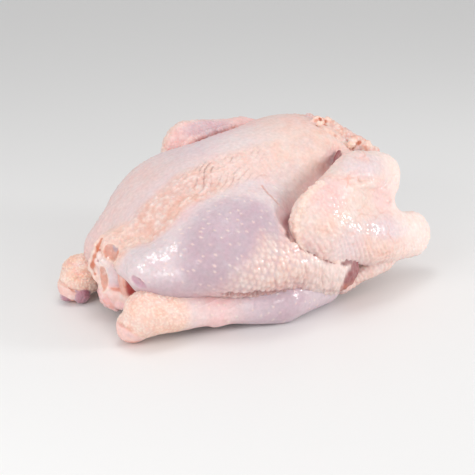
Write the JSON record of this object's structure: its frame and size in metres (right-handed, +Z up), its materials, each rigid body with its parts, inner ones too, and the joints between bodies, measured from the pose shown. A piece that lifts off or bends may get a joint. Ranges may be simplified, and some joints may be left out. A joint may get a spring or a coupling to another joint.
{
  "type": "whole raw turkey",
  "caption": "Whole raw plucked turkey lying on its breast, back up, with folded wings and drawn-in legs, headless and footless.",
  "frame": {"origin": "middle of the bird's length and width, on the surface that it rests on", "axes": "+X along the bird towards its neck end, +Y towards the far wing, +Z up"},
  "size_m": [0.3738, 0.2619, 0.171],
  "materials": {
    "raw_skin": "wet raw poultry skin, pale peach to lilac, with pimples where feathers were",
    "cut_meat": "wet raw meat, fat and gristle where the bird was cut"
  },
  "bodies": {
    "root": {"turkey": "raw_skin"}
  },
  "joints": []
}
